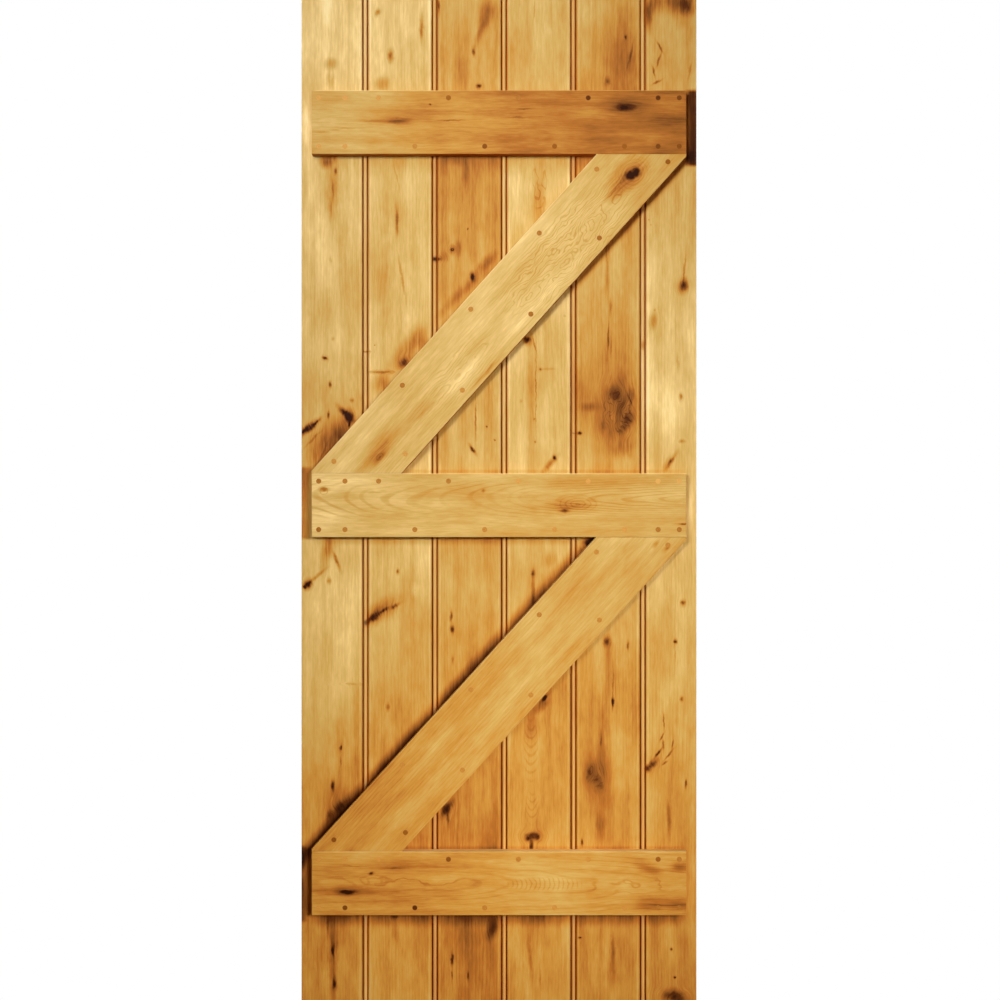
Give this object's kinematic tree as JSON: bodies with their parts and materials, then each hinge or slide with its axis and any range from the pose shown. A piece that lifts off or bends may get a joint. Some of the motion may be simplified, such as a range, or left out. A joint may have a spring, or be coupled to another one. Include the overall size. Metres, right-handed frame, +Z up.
{
  "type": "ledged and braced door",
  "caption": "Ledged and braced oak door: vertical beaded tongue-and-groove boards held by flat ledges and rising braces, screwed and pelleted.",
  "frame": {"origin": "on the floor line, in the middle of the bottom edge's width and of the whole thickness", "axes": "+Z up the door, +X to the right as seen from the ledged side, +Y from the ledged side towards the plain front face"},
  "size_m": [0.78, 0.044, 1.981],
  "materials": {
    "board_oak": "planed, clear satin oil",
    "ledge_oak": "planed, clear satin oil",
    "brace_oak": "planed, clear satin oil",
    "pellet_oak": "end grain, clear satin oil",
    "screw_steel": "plain steel"
  },
  "bodies": {
    "root": {"board_1": "board_oak", "board_2": "board_oak", "board_3": "board_oak", "board_4": "board_oak", "board_5": "board_oak", "board_6": "board_oak", "top_ledge": "ledge_oak", "middle_ledge": "ledge_oak", "bottom_ledge": "ledge_oak", "upper_brace": "brace_oak", "lower_brace": "brace_oak", "top_ledge_pellets": "pellet_oak", "middle_ledge_pellets": "pellet_oak", "bottom_ledge_pellets": "pellet_oak", "upper_brace_pellets": "pellet_oak", "lower_brace_pellets": "pellet_oak", "top_ledge_screws": "screw_steel", "middle_ledge_screws": "screw_steel", "bottom_ledge_screws": "screw_steel", "upper_brace_screws": "screw_steel", "lower_brace_screws": "screw_steel"}
  },
  "joints": []
}
